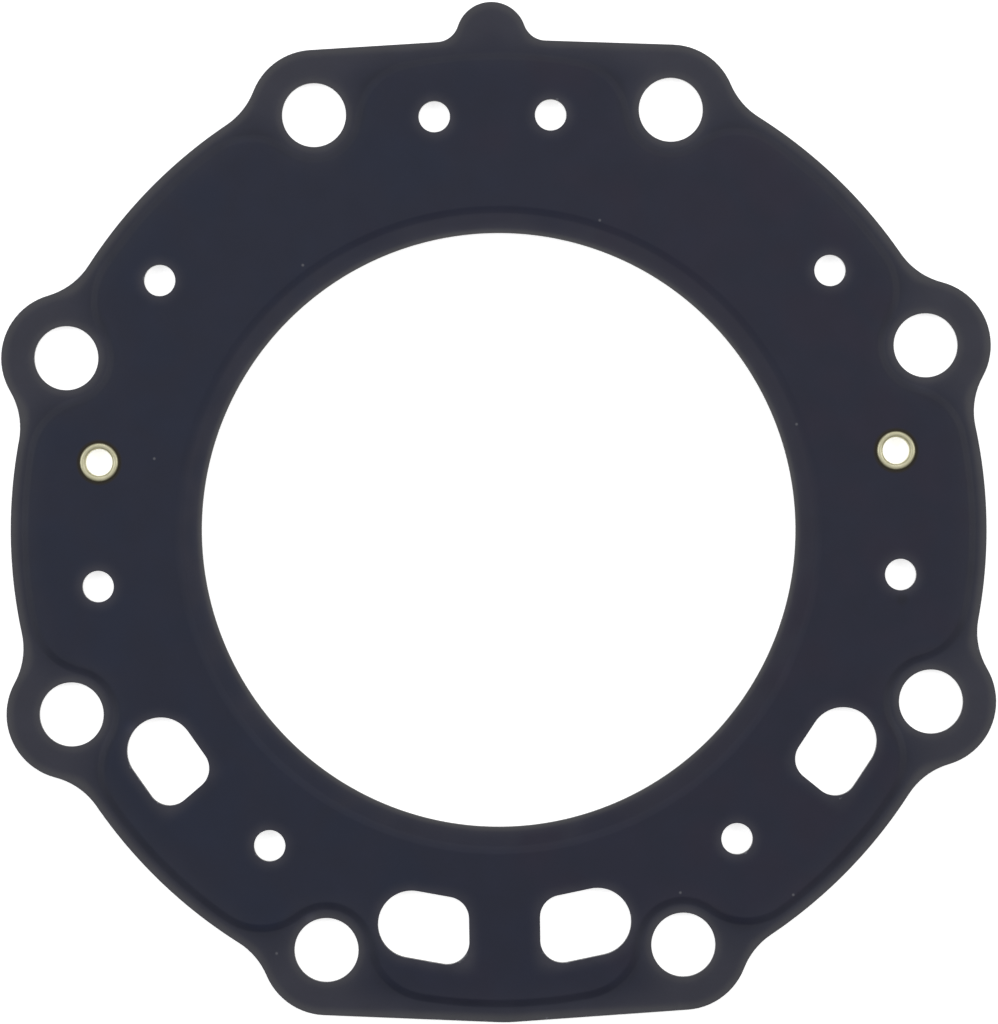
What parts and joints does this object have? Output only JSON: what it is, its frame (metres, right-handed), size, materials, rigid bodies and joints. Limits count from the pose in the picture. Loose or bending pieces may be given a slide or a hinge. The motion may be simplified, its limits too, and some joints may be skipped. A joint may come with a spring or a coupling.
{
  "type": "cylinder head gasket",
  "caption": "Multi-layer steel cylinder head gasket for a liquid-cooled single-cylinder engine, with stepped sealing beads, stud and coolant holes and eyelets that hold the layers together.",
  "frame": {"origin": "centre of the cylinder bore, level with the face that lies on the block", "axes": "+Z along the bore towards the head, +Y towards the tab, +X to the right seen from the head side"},
  "size_m": [0.1518, 0.1564, 0.0021],
  "materials": {
    "coated_steel": "satin black rubber coating on spring steel sheet",
    "core_steel": "bare rolled stainless sheet",
    "eyelet_brass": "pale plated brass, lightly polished"
  },
  "bodies": {
    "root": {"upper_layer": "coated_steel", "core_layer": "core_steel", "lower_layer": "coated_steel", "right_eyelet": "eyelet_brass", "left_eyelet": "eyelet_brass"}
  },
  "joints": []
}
